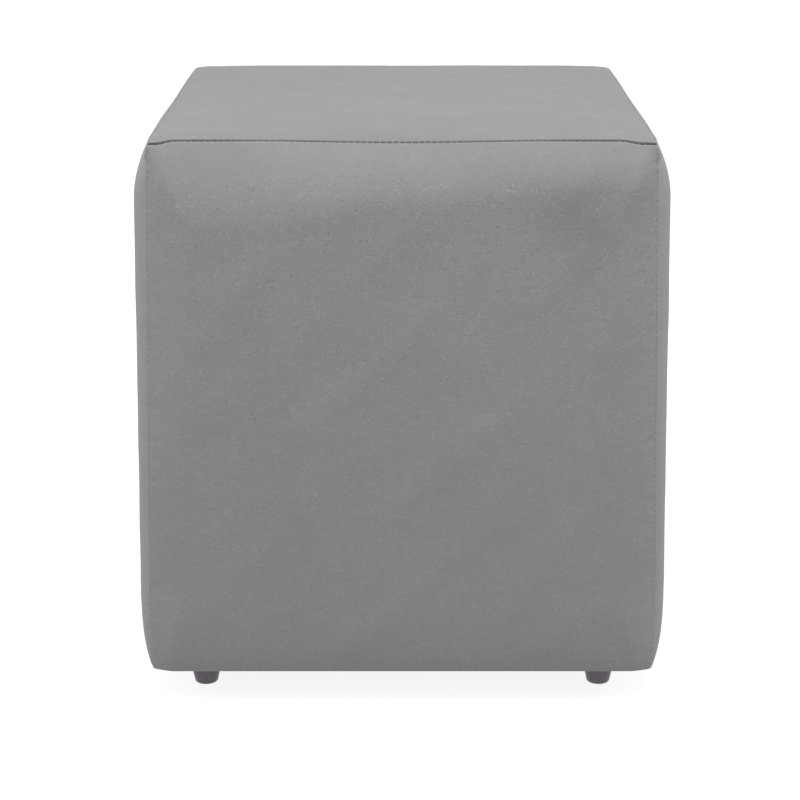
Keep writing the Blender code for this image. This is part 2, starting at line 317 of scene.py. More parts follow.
def pucker(along, distance, seed):
    """Small folds that run out from a seam."""
    lean = PUCKER_LEAN * np.sign(wave_1d(along, PUCKER_LEAN_WAVES, seed + 50))
    folds = wave_1d(along + lean * distance, PUCKER_WAVES, seed)
    strength = 0.55 + 0.45 * wave_1d(along, PUCKER_STRENGTH_WAVES, seed + 1)
    shape = (1 - np.exp(-distance / PUCKER_START)) * np.exp(-distance / PUCKER_FADE)
    return PUCKER_HEIGHT * folds * strength * shape


def ear(from_front):
    """How much further out the left and right top seams lie near the front corners."""
    drawn = EAR_DRAW * np.exp(-(((from_front - EAR_DRAW_PLACE) / EAR_DRAW_REACH) ** 2))
    return EAR * np.exp(-from_front / EAR_FADE) - drawn * smooth_step(from_front, 0, EAR_START)


def furrow(along, distance, depth, width, pinch):
    """A seam's furrow, deeper at each stitch."""
    stitch = np.cos(2 * np.pi * along / STITCH_PITCH)
    return depth * np.exp(-((distance / width) ** 2)) * (1 + pinch * stitch)


def top_furrow(along, distance, side):
    """How far the furrow of a top seam, deeper near the corners, moves points inwards and down."""
    from_middle = np.abs(along)
    ends = smooth_step(from_middle, *TOP_FURROW_CHANGE)
    depth = side.furrow * (TOP_FURROW + (TOP_FURROW_ENDS - TOP_FURROW) * ends)
    if side.name == "front":
        depth = depth + TOP_FURROW_CORNER * smooth_step(from_middle, *TOP_FURROW_CORNER_CHANGE)
    else:
        frontwards = along * FRONT_ENDS.get(side.name, 0)
        depth = depth * (
            1 - TOP_FURROW_RUN_OUT * smooth_step(frontwards, *TOP_FURROW_RUN_OUT_CHANGE)
        )
    ends = smooth_step(from_middle, *TOP_FURROW_WIDTH_CHANGE)
    width = TOP_FURROW_WIDTH + (TOP_FURROW_WIDTH_ENDS - TOP_FURROW_WIDTH) * ends
    depth = furrow(along, distance, depth, width, TOP_PINCH)
    return depth * TOP_FURROW_LEAN[0], depth * TOP_FURROW_LEAN[1]


def corner_creases(fraction, below, side):
    """Depth of the creases where the padding bulges on either side of a front upright seam."""
    from_seam = (1 - np.abs(fraction)) * SEAM_REACH_TOP
    at_front = side.name == "front" or fraction * FRONT_ENDS.get(side.name, 0) > 0
    depth = 0
    for place, crease in CORNER_CREASES:
        depth = depth + crease * np.exp(-(((below - place) / CREASE_REACH) ** 2))
    return depth * at_front * np.exp(-((from_seam / CREASE_WIDTH) ** 2))


def corner_tuck(fraction, below, side):
    """Depth of the tuck beside a front upright seam, on the left and right sides."""
    from_seam = (1 - np.abs(fraction)) * SEAM_REACH_TOP
    at_front = fraction * FRONT_ENDS.get(side.name, 0) > 0
    start, deepest, end, depth, reach, full = CORNER_TUCK
    shape = smooth_step(below, start, deepest) * (1 - smooth_step(below, deepest, end))
    ends = smooth_step(from_seam, 0, full) * (1 - smooth_step(from_seam, reach / 3, reach))
    return depth * at_front * shape * ends


def corner_pit(from_seam, from_other_seam):
    """Depth of the pit where three seams meet."""
    return CORNER_PIT * np.exp(-(from_seam**2 + from_other_seam**2) / CORNER_PIT_REACH**2)


def side_roll(down, above_hem, side):
    """Width of a panel's rolls beside its upright seams."""
    at_top, at_hem = END_ROLL_SHARES[side.name]
    width = side.roll * (at_top + (1 - at_top) * smooth_step(down, 0, END_ROLL_TOP))
    return width * (at_hem + (1 - at_hem) * smooth_step(above_hem, 0, END_ROLL_BOTTOM))


def side_form(fraction, below, side):
    """Points (along, out, height) of a side panel's plain face. below runs on along the hem."""
    down = np.minimum(below, FACE_LENGTH)
    under = np.maximum(below - FACE_LENGTH, 0) / HEM_LENGTH
    height = TOP_SEAM_HEIGHT - down
    above_hem = height - HEM_HEIGHT
    up = above_hem / FACE_LENGTH
    pull = np.exp(-down / SEAM_PULL_FADE)
    sink = seam_sink(fraction, side)
    corner_sink = seam_sink(np.where(fraction > 0, 1, -1), side)
    seam_in = SEAM_BOTTOM_DRAW * tuck(1 - above_hem / SEAM_BOTTOM_ROLL)
    panel_in = BOTTOM_DRAW * tuck(1 - above_hem / BOTTOM_ROLL)
    plain = SEAM_REACH_BOTTOM + (SEAM_REACH_TOP - SEAM_REACH_BOTTOM) * up - seam_in
    half_width = plain - MITRE_SLOPE * corner_sink * pull
    stretch = np.zeros_like(pull)
    if side.name == "front":
        half_width = half_width + EAR * pull
    elif side.name in FRONT_ENDS:
        stretch = ear((1 - fraction * FRONT_ENDS[side.name]) * SEAM_REACH_TOP) * pull
    from_seam = (1 - np.abs(fraction)) * half_width
    fullness = FULLNESS_BOTTOM + (FULLNESS_TOP - FULLNESS_BOTTOM) * up
    middle = FULLNESS_MIDDLE_BESIDE if side.name in FRONT_ENDS else FULLNESS_MIDDLE
    fullness = fullness + middle * up * smooth_step(from_seam, MIDDLE_START, MIDDLE_END)
    fullness = fullness + side.skew * up * np.sin(np.pi * fraction)
    fullness = fullness * round_over(down / top_roll_height(fraction, side), TOP_ROLL_POWER)
    bulge = (fullness - panel_in + seam_in) * swell(
        from_seam, side_roll(down, above_hem, side), SIDE_ROLL_POWER
    )
    fade = 1 - smooth_step(down, 0, TOP_ROLL)
    out = plain - MITRE_SLOPE * sink * pull + stretch + bulge
    out = out + (HEM_REACH - out) * under
    along = fraction * (half_width + (HEM_REACH - half_width) * under)
    return np.stack([along, -out, height - sink * fade], axis=-1)


def top_form(across, deep):
    """Points of the top panel's plain upper face, from two fractions, -1 to 1."""
    front, right, back, left = SIDES
    sink_y = np.where(deep < 0, seam_sink(across, front), seam_sink(-across, back))
    sink_x = np.where(across > 0, seam_sink(deep, right), seam_sink(-deep, left))
    corner_sink = np.where(deep < 0, seam_sink(1, left), seam_sink(1, right))
    from_x = (1 - np.abs(across)) * SEAM_REACH_TOP
    from_y = (1 - np.abs(deep)) * SEAM_REACH_TOP
    pull_x = np.exp(-from_x / TOP_PULL_FADE)
    pull_y = np.exp(-from_y / TOP_PULL_FADE)
    sink = sink_x * pull_x + sink_y * pull_y - corner_sink * pull_x * pull_y
    crown = TOP_CROWN * round_over(from_x / TOP_CROWN_ROLL, 1)
    crown = crown * round_over(from_y / TOP_CROWN_ROLL, 1)
    x = across * (SEAM_REACH_TOP - MITRE_SLOPE * sink_x + ear((1 + deep) * SEAM_REACH_TOP))
    y = deep * (SEAM_REACH_TOP - MITRE_SLOPE * sink_y)
    return np.stack([x, y, TOP_SEAM_HEIGHT - sink + crown], axis=-1)


def normals(form, u, v, step):
    """Unit normals of a form at (u, v), by small steps either way. u x v points outwards."""
    du = form(np.clip(u + step[0], -1, 1), v) - form(np.clip(u - step[0], -1, 1), v)
    dv = form(u, v + step[1]) - form(u, v - step[1])
    normal = np.cross(du, dv)
    return normal / np.maximum(np.linalg.norm(normal, axis=-1, keepdims=True), 1e-12)


def settle(points, hold):
    """Rows of points moved by a cloth simulation that holds each as firmly as hold says, 0 to 1."""
    rows, columns = hold.shape
    number = np.arange(rows * columns).reshape(rows, columns)
    faces = np.stack([number[:-1, :-1], number[:-1, 1:], number[1:, 1:], number[1:, :-1]], -1)
    mesh = bpy.data.meshes.new("trial_cloth")
    mesh.from_pydata(points.reshape(-1, 3).tolist(), [], faces.reshape(-1, 4).tolist())
    trial = bpy.data.objects.new("trial_cloth", mesh)
    scene = bpy.context.scene
    scene.collection.objects.link(trial)
    group = trial.vertex_groups.new(name="held")
    for index, weight in enumerate(hold.ravel().tolist()):
        group.add([index], weight, "REPLACE")
    modifier = trial.modifiers.new("cloth", "CLOTH")
    cloth = modifier.settings
    cloth.quality = SETTLE_QUALITY
    cloth.mass = SETTLE_MASS
    cloth.tension_stiffness = cloth.compression_stiffness = SETTLE_STIFFNESS
    cloth.shear_stiffness = SETTLE_SHEAR_STIFFNESS
    cloth.bending_stiffness = SETTLE_BENDING_STIFFNESS
    cloth.vertex_group_mass = "held"
    cloth.pin_stiffness = 1
    cloth.use_pressure = True
    cloth.uniform_pressure_force = SETTLE_PRESSURE
    cloth.shrink_min = cloth.shrink_max = -SETTLE_SLACK
    cloth.effector_weights.gravity = 0
    modifier.collision_settings.use_collision = False
    modifier.point_cache.frame_end = SETTLE_FRAMES
    for tick in range(1, SETTLE_FRAMES + 1):
        scene.frame_set(tick)
    settled = trial.evaluated_get(bpy.context.evaluated_depsgraph_get())
    moved = np.empty(points.size, np.float32)
    settled.data.vertices.foreach_get("co", moved)
    bpy.data.objects.remove(trial)
    bpy.data.meshes.remove(mesh)
    scene.frame_set(1)
    return moved.reshape(points.shape)


def spline_weights(share):
    """Weights of the four places around one that lies a share of the way between the inner two."""
    rest = 1 - share
    return (
        rest**3 / 6,
        (3 * share**3 - 6 * share**2 + 4) / 6,
        (3 * rest**3 - 6 * rest**2 + 4) / 6,
        share**3 / 6,
    )


class Settling:
    """How far a panel's plain form is moved outwards where its cloth settles on the padding.

    The form's u runs from -1 to 1 and its v from low to high, over a length. v_step is a small step
    of v, and outward is 1 if u x v points outwards, or else -1.
    """

    def __init__(self, form, low, high, length, v_step, outward, seed):
        self.low, self.high = low, high
        width = 2 * SEAM_REACH_TOP
        columns, rows = round(width / SETTLE_CELL) + 1, round(length / SETTLE_CELL) + 1
        self.shape = rows, columns
        u, v = np.meshgrid(np.linspace(-1, 1, columns), np.linspace(low, high, rows))
        wave = wave_2d(
            u * SEAM_REACH_TOP, (v - low) / (high - low) * length, SETTLE_HOLD_WAVES, seed
        )
        hold = SETTLE_HOLD * (1 + SETTLE_HOLD_UNEVENNESS * wave)
        hold = np.clip(hold, SETTLE_HOLD_LEAST, SETTLE_HOLD_MOST)
        hold[[0, -1], :] = hold[:, [0, -1]] = 1
        points = form(u, v)
        moved = settle(points[::outward], hold[::outward])[::outward] - points
        out = outward * normals(form, u, v, (SHARE_STEP, v_step))
        moves = (moved * out).sum(axis=-1)
        self.moves = SETTLE_LIMIT * np.tanh(moves / SETTLE_LIMIT)

    def at(self, u, v):
        rows, columns = self.shape
        row = np.clip((v - self.low) / (self.high - self.low), 0, 1) * (rows - 1)
        column = (u + 1) / 2 * (columns - 1)
        first_row, first_column = np.floor(row).astype(int), np.floor(column).astype(int)
        around = np.pad(self.moves, 2)
        total = 0
        for i, across in enumerate(spline_weights(row - first_row)):
            for j, along in enumerate(spline_weights(column - first_column)):
                total = total + across * along * around[first_row + i + 1, first_column + j + 1]
        return total


class Lines:
    """The lines of a panel's mesh in one direction: fine ones beside a seam, coarse ones inside."""

    def __init__(self, head, coarse, tail=()):
        fine = [np.linspace(a, b, FINE_STEPS, endpoint=False) for a, b in zip(coarse, coarse[1:])]
        self.places = np.concatenate([head, *fine, [coarse[-1]], tail])
        self.first = len(head)
        self.last = self.first + FINE_STEPS * (len(coarse) - 1)
        self.end = len(self.places) - 1

    def seam_steps(self):
        return [*range(self.first), *range(self.last, self.end)]

    def coarse_steps(self):
        return range(self.first, self.last, FINE_STEPS)


def width_lines(width):
    """Lines across a panel, with a seam at either end, as distances from the first one."""
    edge = BAND[-1] + FINE_CELL
    coarse = np.linspace(edge, width - edge, round((width - 2 * edge) / CELL) + 1)
    return Lines(np.array(BAND), coarse, width - np.array(BAND[::-1]))


def drop_lines():
    """Lines down a side panel from its top seam, round the lower roll and along the hem."""
    roll_start = FACE_LENGTH - BOTTOM_ROLL
    edge = BAND[-1] + FINE_CELL
    plain = np.linspace(edge, roll_start, round((roll_start - edge) / CELL) + 1)
    turns = np.linspace(0, np.pi / 2, BOTTOM_ROLL_ROWS + 1)[1:]
    hem = np.linspace(FACE_LENGTH, FACE_LENGTH + HEM_LENGTH, HEM_ROWS + 1)[1:]
    rolled = roll_start + BOTTOM_ROLL * np.sin(turns)
    return Lines(np.array(BAND), np.concatenate([plain, rolled, hem]))


class PanelMesh:
    """Collects the corners and faces of a panel as places on its two sets of lines."""

    def __init__(self, across, down):
        self.across, self.down = across, down
        self.index, self.faces = {}, []

    def corner(self, i, j):
        return self.index.setdefault((i, j), len(self.index))

    def face(self, keys):
        self.faces.append([self.corner(*key) for key in keys])

    def quads(self, columns, rows):
        for i in columns:
            for j in rows:
                self.face(((i, j), (i + 1, j), (i + 1, j + 1), (i, j + 1)))

    def build(self):
        across, down = self.across, self.down
        self.quads(range(across.end), down.seam_steps())
        self.quads(across.seam_steps(), range(down.first, down.last))
        for i in across.coarse_steps():
            for j in down.coarse_steps():
                self.face(self.outline(i, j))

    def outline(self, i, j):
        """A coarse face's corners, with those of the fine mesh on the sides where it meets that."""
        across, down, step = self.across, self.down, FINE_STEPS
        fine_near = range(1, step)
        keys = [(i, j)]
        if j == down.first:
            keys += [(i + n, j) for n in fine_near]
        keys.append((i + step, j))
        if i + step == across.last:
            keys += [(i + step, j + n) for n in fine_near]
        keys.append((i + step, j + step))
        if j + step == down.last and down.end > down.last:
            keys += [(i + step - n, j + step) for n in fine_near]
        keys.append((i, j + step))
        if i == across.first:
            keys += [(i, j + step - n) for n in fine_near]
        return keys

    def places(self):
        keys = np.array(list(self.index))
        return self.across.places[keys[:, 0]], self.down.places[keys[:, 1]]

    def edge_columns(self, j):
        """The corners in use along one row."""
        return [self.index[i, j] for i in range(self.across.end + 1) if (i, j) in self.index]

    def edge_rows(self, i):
        return [self.index[i, j] for j in range(self.down.end + 1) if (i, j) in self.index]


def finish_mesh(name, points, faces, material):
    """A closed, smooth object from points and faces, with its faces turned outwards."""
    mesh = bpy.data.meshes.new(name)
    mesh.from_pydata([tuple(point) for point in points], [], faces)
    shape = bmesh.new()
    shape.from_mesh(mesh)
    bmesh.ops.recalc_face_normals(shape, faces=shape.faces)
    shape.to_mesh(mesh)
    shape.free()
    mesh.shade_smooth()
    mesh.set_sharp_from_angle(angle=math.radians(SHARP_ANGLE))
    mesh.materials.append(material)
    obj = bpy.data.objects.new(name, mesh)
    bpy.context.scene.collection.objects.link(obj)
    return obj


def side_points(fraction, below, side):
    """Points of a side panel as sewn: its form, with its puckers, furrows and settling."""
    next_seed = SIDES[(SIDES.index(side) + 1) % len(SIDES)].seed

    def form(u, v):
        return side_form(u, v, side)

    out = -normals(form, fraction, below, (SHARE_STEP, DOWN_STEP))
    along = fraction * SEAM_REACH_TOP
    from_side = (1 - np.abs(fraction)) * SEAM_REACH_TOP
    relief = pucker(along, below, side.seed * 10)
    for upright, sign in ((side.seed, -1), (next_seed, 1)):
        relief = relief + (fraction * sign > 0) * pucker(below, from_side, upright * 10 + 5)
    inside = smooth_step(from_side, 0, SETTLE_FADE) * smooth_step(below, 0, SETTLE_FADE)
    inside = inside * (1 - smooth_step(below, FACE_LENGTH - SETTLE_HEM_FADE, FACE_LENGTH))
    relief = relief + inside * settling[side.name].at(fraction, below)
    relief = relief - corner_tuck(fraction, below, side)
    points = form(fraction, below) + out * relief[:, None]

    side_depth = furrow(below, from_side, SIDE_FURROW, SIDE_FURROW_WIDTH, SIDE_PINCH)
    side_depth = side_depth * (
        1 - smooth_step(below, FACE_LENGTH - SIDE_FURROW_END, FACE_LENGTH)
    )
    side_depth = side_depth + corner_creases(fraction, below, side)
    pit = corner_pit(from_side, below)
    endwards, backwards, pit_down = CORNER_PIT_LEAN
    if side.name in FRONT_ENDS:
        endwards, backwards = backwards, endwards
    inwards, down = top_furrow(along, below, side)
    points[:, 0] -= np.sign(fraction) * (side_depth / math.sqrt(2) + endwards * pit)
    points[:, 1] += side_depth / math.sqrt(2) + inwards + backwards * pit
    points[:, 2] -= down + pit_down * pit
    return points


def make_side(side, material):
    width = 2 * SEAM_REACH_TOP
    grid = PanelMesh(width_lines(width), drop_lines())
    grid.build()
    across, below = grid.places()
    points = list(side_points(across / SEAM_REACH_TOP - 1, below, side))
    faces = grid.faces
    top, hem_edge = grid.edge_columns(0), grid.edge_columns(grid.down.end)
    ends = grid.edge_rows(0), grid.edge_rows(grid.across.end)
    hem_top = HEM_HEIGHT + HEM_THICKNESS
    section = (
        (HEM_REACH, hem_top),
        (PANEL_BACK_REACH, hem_top),
        (TOP_BACK_REACH, TOP_SEAM_HEIGHT - TOP_PANEL_DEPTH),
    )
    back = []
    for sign in (-1, 1):
        back.append([len(points) + n for n in range(len(section))])
        points += [np.array((sign * reach, -reach, height)) for reach, height in section]
    left, right = back
    faces += [ends[0] + left, ends[1] + right]
    faces += [top + [right[2], left[2]], hem_edge + [right[0], left[0]]]
    faces += [[left[n], left[n + 1], right[n + 1], right[n]] for n in range(2)]
    panel = finish_mesh(f"{side.name}_cover", points, faces, material)
    panel.rotation_euler.z = math.radians(side.turn)
    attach(panel, "root")
    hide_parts(f"{side.name}_panel")


def top_points(across, deep):
    """Points of the top panel as sewn."""
    out = normals(top_form, across, deep, (SHARE_STEP, SHARE_STEP))
    edges = ((-deep, across), (across, deep), (deep, -across), (-across, -deep))
    reach = SEAM_REACH_TOP
    from_x, from_y = (1 - np.abs(across)) * reach, (1 - np.abs(deep)) * reach
    relief = settling["top"].at(across, deep)
    relief = relief * smooth_step(from_x, 0, SETTLE_FADE) * smooth_step(from_y, 0, SETTLE_FADE)
    points = top_form(across, deep)
    for (towards, along), side in zip(edges, SIDES):
        distance = (1 - towards) * reach
        relief = relief + TOP_PUCKER_SHARE * pucker(along * reach, distance, side.seed * 10)
        inwards, down = top_furrow(along * reach, distance, side)
        turn = math.radians(side.turn)
        points[:, :2] -= inwards[:, None] * np.array((math.sin(turn), -math.cos(turn)))
        points[:, 2] -= down
    pit = corner_pit(from_x, from_y)
    points[:, 0] -= np.sign(across) * CORNER_PIT_LEAN[0] * pit
    points[:, 1] -= np.sign(deep) * CORNER_PIT_LEAN[1] * pit
    points[:, 2] -= CORNER_PIT_LEAN[2] * pit
    return points + out * relief[:, None]


def make_top(material):
    width = 2 * SEAM_REACH_TOP
    grid = PanelMesh(width_lines(width), width_lines(width))
    grid.build()
    x, y = grid.places()
    points = list(top_points(x / SEAM_REACH_TOP - 1, y / SEAM_REACH_TOP - 1))
    back, height = TOP_BACK_REACH, TOP_SEAM_HEIGHT - TOP_PANEL_DEPTH
    corners = [len(points) + n for n in range(4)]
    for sign_x, sign_y in ((-1, -1), (1, -1), (1, 1), (-1, 1)):
        points.append(np.array((sign_x * back, sign_y * back, height)))
    front_left, front_right, back_right, back_left = corners
    faces = grid.faces + [corners]
    faces.append(grid.edge_columns(0) + [front_right, front_left])
    faces.append(grid.edge_columns(grid.down.end) + [back_right, back_left])
    faces.append(grid.edge_rows(0) + [back_left, front_left])
    faces.append(grid.edge_rows(grid.across.end) + [back_right, front_right])
    panel = finish_mesh("top_cover", points, faces, material)
    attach(panel, "root")
    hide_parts("top_panel")


def tube_faces(first, rings, around):
    """The faces between rings of points, which follow one another from the first point on."""
    faces = []
    for ring in range(rings - 1):
        a, b = first + ring * around, first + (ring + 1) * around
        for n in range(around):
            after = (n + 1) % around
            faces.append([a + n, a + after, b + after, b + n])
    return faces


def sweep_stitches(name, paths, material):
    """Short round threads, one for each (path, outward direction, radius), thinner at the ends."""
    points, faces = [], []
    around = THREAD_SIDES
    for path, outward, radius in paths:
        first, steps = len(points), len(path)
        for n, middle in enumerate(path):
            thin = radius * (0.4 + 0.6 * math.sin(math.pi * n / (steps - 1)) ** 0.5)
            along = path[min(n + 1, steps - 1)] - path[max(n - 1, 0)]
            across = np.cross(along, outward)
            across = across / np.linalg.norm(across)
            upward = np.cross(across, along)
            upward = upward / np.linalg.norm(upward)
            for corner in range(around):
                turn = 2 * math.pi * corner / around
                points.append(middle + thin * (across * math.cos(turn) + upward * math.sin(turn)))
        faces += tube_faces(first, steps, around)
        faces.append([first + corner for corner in range(around)])
        faces.append([first + (steps - 1) * around + corner for corner in range(around)])
    thread = finish_mesh(name, points, faces, material)
    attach(thread, "root")


def turned(points, degrees):
    """Points turned about Z."""
    c, s = math.cos(math.radians(degrees)), math.sin(math.radians(degrees))
    return points @ np.array([[c, s, 0], [-s, c, 0], [0, 0, 1]])


def make_top_stitches(side, material):
    """The threads that cross a side's top seam, from one lip of its furrow to the other."""
    count = int(SEAM_REACH_TOP / STITCH_PITCH) - 1
    along = (np.arange(-count, count) + 0.5) * STITCH_PITCH
    ends = smooth_step(np.abs(along), *TOP_THREAD_CHANGE)
    reach = TOP_THREAD_REACH + (TOP_THREAD_REACH_ENDS - TOP_THREAD_REACH) * ends
    near = turned(side_points(along / SEAM_REACH_TOP, reach, side), side.turn)
    across, deep = along / SEAM_REACH_TOP, reach / SEAM_REACH_TOP - 1
    turn = math.radians(side.turn)
    far = top_points(
        across * math.cos(turn) - deep * math.sin(turn),
        across * math.sin(turn) + deep * math.cos(turn),
    )
    outward = turned(np.array(TOP_THREAD_OUTWARD), side.turn)
    shares = np.linspace(0, 1, THREAD_POINTS)[:, None]
    bow = THREAD_LIFT * np.sin(np.pi * shares)
    radii = TOP_THREAD_RADIUS + (TOP_THREAD_RADIUS_ENDS - TOP_THREAD_RADIUS) * ends
    paths = [
        (a + (b - a) * shares + outward * bow, outward, radius)
        for a, b, radius in zip(near, far, radii)
    ]
    sweep_stitches(f"{side.name}_top_stitches", paths, material)


def make_side_stitches(side, material):
    """The threads of the upright seam at the right end of a side, lying along it."""
    outward = turned(np.array((1, -1, 0)) / math.sqrt(2), side.turn)
    shares = np.linspace(-0.5, 0.5, THREAD_POINTS)
    paths = []
    for stitch in range(2, int((FACE_LENGTH - SEAM_BOTTOM_ROLL) / STITCH_PITCH)):
        below = (stitch + 0.5) * STITCH_PITCH + shares * SIDE_THREAD_LENGTH
        path = turned(side_points(np.ones(len(shares)), below, side), side.turn)
        paths.append((path + outward * THREAD_LIFT, outward, SIDE_THREAD_RADIUS))
    sweep_stitches(f"{side.name}_side_stitches", paths, material)


def make_underside(material):
    """The cloth that closes the bottom: drawn flat, with its edge turned in."""
    low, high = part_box("underside_cloth")
    width, thickness = high.x - low.x, high.z - low.z
    steps = UNDERSIDE_STEPS
    across = np.linspace(-width / 2, width / 2, steps + 1)
    x, y = (grid.ravel() for grid in np.meshgrid(across, across))
    from_edge = width / 2 - np.maximum(np.abs(x), np.abs(y))
    slack = smooth_step(from_edge, *UNDERSIDE_WAVE_START)
    wave = UNDERSIDE_WAVE * wave_2d(x, y, UNDERSIDE_WAVES, UNDERSIDE_SEED) * slack
    fold = UNDERSIDE_FOLD * (1 - smooth_step(from_edge, *UNDERSIDE_FOLD_END))
    bottom = low.z + UNDERSIDE_FOLD - fold + wave
    top = np.full_like(x, high.z)
    points = np.concatenate([np.stack([x, y, bottom], -1), np.stack([x, y, top], -1)])
    row = steps + 1
    faces = []
    for i in range(steps):
        for j in range(steps):
            a = i * row + j
            quad = [a, a + 1, a + row + 1, a + row]
            faces += [quad, [n + row * row for n in quad]]
    along = range(steps)
    rim = [*along, *(n * row + steps for n in along)]
    rim += [*(steps * row + steps - n for n in along), *((steps - n) * row for n in along)]
    for a, b in zip(rim, rim[1:] + rim[:1]):
        faces.append([a, b, b + row * row, a + row * row])
    cloth = finish_mesh("underside_sheet", points, faces, material)
    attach(cloth, "root")
    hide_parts("underside_cloth")


def make_foot(node, material):
    """A turned foot: a taper with a rounded lower edge, as high and wide as its solid."""
    low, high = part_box(node)
    top_radius, height = (high.x - low.x) / 2, high.z - low.z
    profile = [(top_radius - FOOT_TOP_BEVEL, height), (top_radius, height - FOOT_TOP_BEVEL)]
    for n in range(FOOT_EDGE_STEPS + 1):
        turn = math.pi / 2 * n / FOOT_EDGE_STEPS
        radius = FOOT_BOTTOM_RADIUS - FOOT_EDGE_RADIUS * (1 - math.cos(turn))
        profile.append((radius, FOOT_EDGE_RADIUS * (1 - math.sin(turn))))
    points = []
    for radius, z in profile:
        for n in range(FOOT_SIDES):
            turn = math.tau * n / FOOT_SIDES
            points.append((radius * math.cos(turn), radius * math.sin(turn), z))
    faces = tube_faces(0, len(profile), FOOT_SIDES)
    last, top, bottom = len(points) - FOOT_SIDES, len(points), len(points) + 1
    points += [(0, 0, height), (0, 0, 0)]
    for n in range(FOOT_SIDES):
        after = (n + 1) % FOOT_SIDES
        faces += [[top, n, after], [bottom, last + n, last + after]]
    foot = finish_mesh(f"{node}_turned", points, faces, material)
    foot.location = ((low.x + high.x) / 2, (low.y + high.y) / 2, low.z)
    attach(foot, "root")
    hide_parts(node)


class Nodes:
    """A small helper that adds shader nodes to a new material."""

    def __init__(self, name):
        self.material = bpy.data.materials.new(name)
        self.material.use_nodes = True
        self.tree = self.material.node_tree
        self.shader = self.tree.nodes["Principled BSDF"]
        self.place = self.add("TexCoord").outputs["Object"]

    def fill(self, node, inputs):
        """Sets a node's inputs, or links them where the value is another node's output."""
        for key, value in dict(inputs).items():
            if isinstance(value, bpy.types.NodeSocket):
                self.tree.links.new(value, node.inputs[key])
            else:
                node.inputs[key].default_value = value

    def add(self, kind, settings=(), inputs=()):
        node = self.tree.nodes.new(f"ShaderNode{kind}")
        for key, value in dict(settings).items():
            setattr(node, key, value)
        self.fill(node, inputs)
        return node

    def noise(self, fineness, detail, seed):
        """Uneven values about 0.5, finer where fineness, in x, y and z, is more."""
        mapped = self.add("Mapping", {}, {"Vector": self.place, "Scale": fineness})
        texture = self.add(
            "TexNoise",
            {"noise_dimensions": "4D"},
            {"Vector": mapped.outputs["Vector"], "W": seed, "Scale": 1, "Detail": detail},
        )
        return texture.outputs["Fac"]

    def spread(self, value, low, high, start=0.25, end=0.75, smooth=False):
        """Values from start to end, by default a noise's middle range, stretched to low to high."""
        return self.add(
            "MapRange",
            {"clamp": True, "interpolation_type": "SMOOTHSTEP" if smooth else "LINEAR"},
            {"Value": value, "From Min": start, "From Max": end, "To Min": low, "To Max": high},
        ).outputs["Result"]

    def layer(self, settings, seed=0):
        """A layer's noise, and the same stretched to its two values."""
        fineness, detail, offset, *stretch = settings
        noise = self.noise(fineness, detail, seed + offset)
        return noise, self.spread(noise, *stretch)

    def math(self, operation, *values):
        return self.add("Math", {"operation": operation}, enumerate(values)).outputs[0]

    def times(self, *values):
        product = values[0]
        for value in values[1:]:
            product = self.math("MULTIPLY", product, value)
        return product

    def sum(self, *values):
        total = values[0]
        for value in values[1:]:
            total = self.math("ADD", total, value)
        return total

    def bump(self, height, strength, distance):
        inputs = {"Strength": strength, "Distance": distance, "Height": height}
        return self.add("Bump", {}, inputs).outputs["Normal"]

    def finish(self, colour, shade, inputs):
        """The material, with a colour times a shade and with its shader's other inputs."""
        shaded = self.add(
            "Mix",
            {"data_type": "RGBA", "blend_type": "MULTIPLY"},
            {"Factor": 1.0, "A": (*colour, 1), "B": shade},
        )
        self.fill(self.shader, {"Base Color": shaded.outputs["Result"], **inputs})
        return self.material


def make_suede(name, painted_panel_shade, seed, painted_patches=()):
    """Grey suede-like cloth: a short pile with uneven shade, crushed marks and painted shade, and a
    soft sheen.

    The last argument holds (place along, height, reach along, reach up, shade) of patches of
    painted shade.
    """
    nodes = Nodes(name)
    parts = nodes.add("SeparateXYZ", {}, {"Vector": nodes.place}).outputs
    height = parts["Z"]
    # Painted shade: darker towards the bottom, and scaled for the panel
    start, end, darkest = LOW_PAINTED_SHADE
    painted_low_shade = nodes.spread(height, darkest * painted_panel_shade, painted_panel_shade, start, end, smooth=True)
    clouds, blotches = nodes.layer(CLOUDS, seed)[1], nodes.layer(BLOTCHES, seed)[1]
    streak, streaks = nodes.layer(STREAKS, seed)
    grain, grains = nodes.layer(GRAIN, seed)
    fineness, detail, offset = MARK_LINES
    curls = nodes.noise(fineness, detail, seed + offset)
    from_line = nodes.math("ABSOLUTE", nodes.sum(curls, -0.5))
    marks = nodes.times(
        nodes.spread(from_line, 1, 0, 0, MARK_WIDTH),
        nodes.layer(MARK_PATCHES, seed)[1],
        nodes.layer(MARK_TINTS, seed)[1],
        nodes.spread(height, *MARK_STRENGTH),
        nodes.spread(height, *MARK_RUN_OUT),
    )
    shade = nodes.times(painted_low_shade, clouds, blotches, streaks, grains, nodes.sum(marks, 1))
    # Painted shade: darker patches below the front's top roll and in the tucks by the front upright
    # seams
    for along, up, wide, high, tint in painted_patches:
        dx = nodes.times(nodes.sum(parts["X"], -along), 1 / wide)
        dz = nodes.times(nodes.sum(height, -up), 1 / high)
        away = nodes.math("SQRT", nodes.sum(nodes.times(dx, dx), nodes.times(dz, dz)))
        shade = nodes.times(shade, nodes.spread(away, tint, 1, 0, 1, smooth=True))
    relief = nodes.sum(grain, nodes.times(streak, SUEDE_STREAK_BUMP))
    return nodes.finish(
        SUEDE_COLOUR,
        shade,
        {
            "Normal": nodes.bump(relief, *SUEDE_BUMP),
            "Roughness": nodes.spread(grain, *SUEDE_ROUGHNESS),
            "Specular IOR Level": SUEDE_SPECULAR,
            "Sheen Weight": SHEEN,
            "Sheen Roughness": SHEEN_ROUGHNESS,
        },
    )


def make_thread_material(name, colour):
    nodes = Nodes(name)
    return nodes.finish(colour, nodes.layer(THREAD_TWIST)[1], {"Roughness": THREAD_ROUGHNESS})


